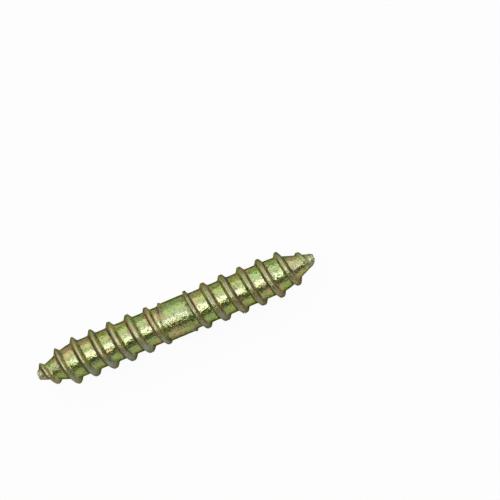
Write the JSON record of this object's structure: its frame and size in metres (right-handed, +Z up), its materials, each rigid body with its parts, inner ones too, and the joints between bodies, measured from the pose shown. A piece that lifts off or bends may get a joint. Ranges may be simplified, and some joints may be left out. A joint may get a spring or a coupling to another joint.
{
  "type": "dowel screw",
  "caption": "Double-ended wood screw with a coarse thread and a tapered point on each end and a plain band between.",
  "frame": {"origin": "on the screw's axis, half way between its two points", "axes": "+X along the axis towards the far point, +Z up as the screw lies"},
  "size_m": [0.0394, 0.006, 0.006],
  "materials": {
    "zinc_steel": "yellow-passivated zinc plating, olive with pink and orange patches"
  },
  "bodies": {
    "root": {"screw": "zinc_steel"}
  },
  "joints": []
}
